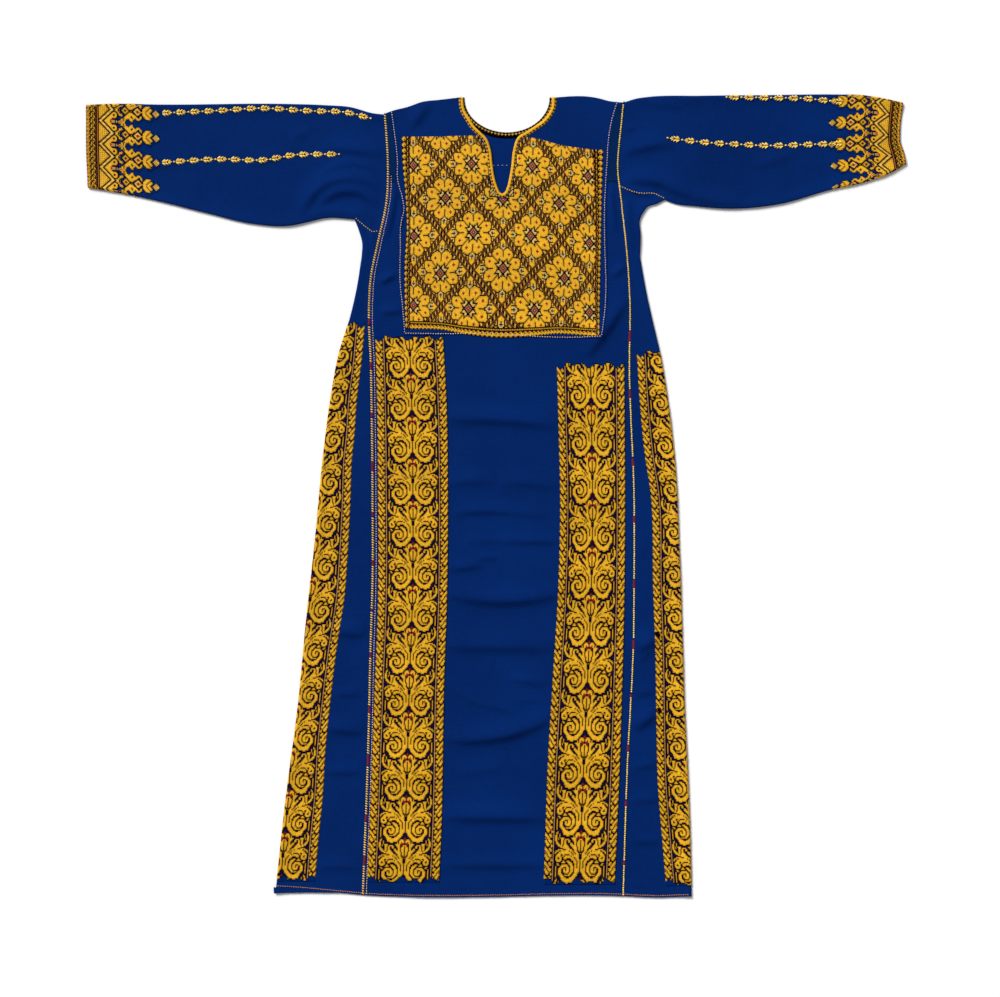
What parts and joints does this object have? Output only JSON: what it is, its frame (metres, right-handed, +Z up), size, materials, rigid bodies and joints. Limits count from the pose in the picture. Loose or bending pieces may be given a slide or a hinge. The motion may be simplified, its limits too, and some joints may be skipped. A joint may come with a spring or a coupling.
{
  "type": "long embroidered dress, laid flat",
  "caption": "Long-sleeved embroidered dress in dark blue cotton, laid flat, with a chest panel, slit neck, side panels and straight sleeves.",
  "frame": {"origin": "centre of the bounding box in plan, at the surface the dress lies on", "axes": "+Z up from the surface, +Y towards the shoulders, +X along the sleeves to the right as seen from above"},
  "size_m": [1.3931, 1.3641, 0.0098],
  "materials": {
    "cotton": "dyed plain-weave cotton, soft low sheen",
    "embroidery": "dense counted cross stitch in yellow thread on dark blue cotton",
    "edging": "yellow thread worked over the bound edge",
    "dark_edging": "near-black bound edge with yellow stitches"
  },
  "bodies": {
    "root": {"back_panel": "cotton", "front_panel": "cotton", "chest_panel": "embroidery", "left_shoulder_strip": "cotton", "right_shoulder_strip": "cotton", "left_side_panel": "cotton", "right_side_panel": "cotton", "left_sleeve": "cotton", "right_sleeve": "cotton", "left_cuff_edging": "edging", "right_cuff_edging": "edging", "front_neck_binding": "edging", "back_neck_binding": "dark_edging"}
  },
  "joints": []
}
